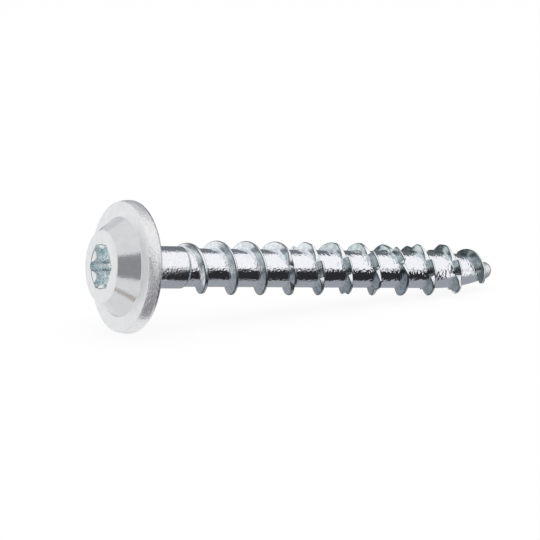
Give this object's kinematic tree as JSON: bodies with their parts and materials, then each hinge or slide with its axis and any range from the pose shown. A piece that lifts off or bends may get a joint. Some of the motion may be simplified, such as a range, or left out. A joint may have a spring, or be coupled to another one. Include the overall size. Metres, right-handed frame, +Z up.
{
  "type": "concrete screw",
  "caption": "Self-tapping masonry anchor screw with a flanged washer head, a six-lobed drive recess and a coarse toothed thread, lying on its side.",
  "frame": {"origin": "centre of the bearing face under the head's flange", "axes": "+Z up, +X from the head to the tip along the floor; the screw lies on its head's rim and its thread, so its own axis dips 6.3 degrees towards the tip"},
  "size_m": [0.0651, 0.0184, 0.0185],
  "materials": {
    "zinc_plated_steel": "bright zinc plating"
  },
  "bodies": {
    "root": {"screw": "zinc_plated_steel"}
  },
  "joints": []
}
